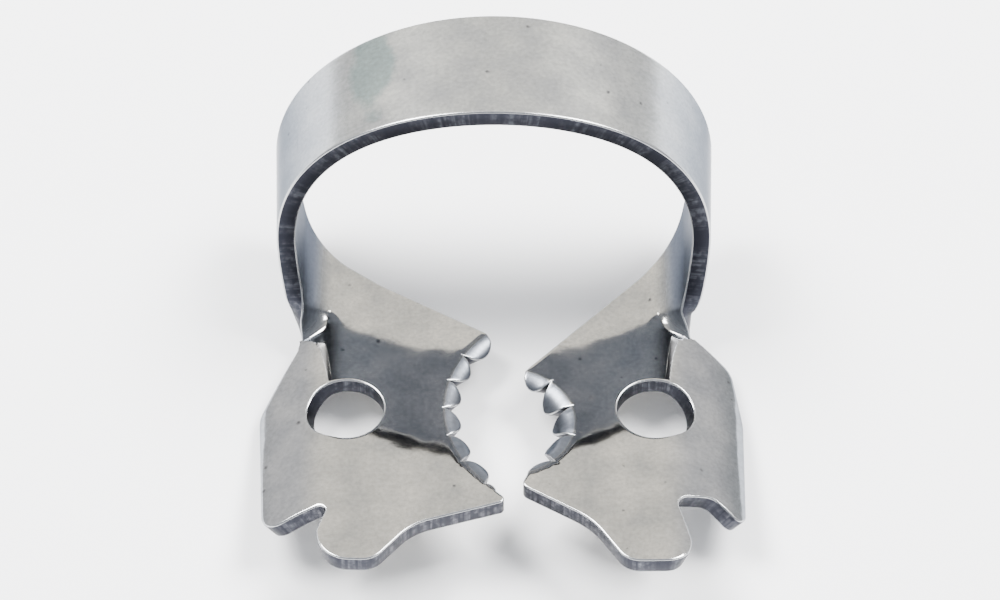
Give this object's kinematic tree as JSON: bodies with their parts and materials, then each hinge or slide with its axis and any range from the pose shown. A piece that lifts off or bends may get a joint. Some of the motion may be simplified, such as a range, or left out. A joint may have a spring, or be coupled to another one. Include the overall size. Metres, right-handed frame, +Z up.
{
  "type": "rubber dam clamp",
  "caption": "Winged dental clamp of spring steel: a bow joins two flat jaws with serrated, bent-down bites, forceps holes and side wings.",
  "frame": {"origin": "on the table, under the middle of the clamp's bounding box as it lies at rest", "axes": "+X from the left jaw to the right jaw, +Y from the jaws' front towards the bow, +Z up"},
  "size_m": [0.0234, 0.0252, 0.0138],
  "materials": {
    "clamp": "satin polished spring steel"
  },
  "bodies": {
    "root": {"clamp": "clamp"}
  },
  "joints": []
}
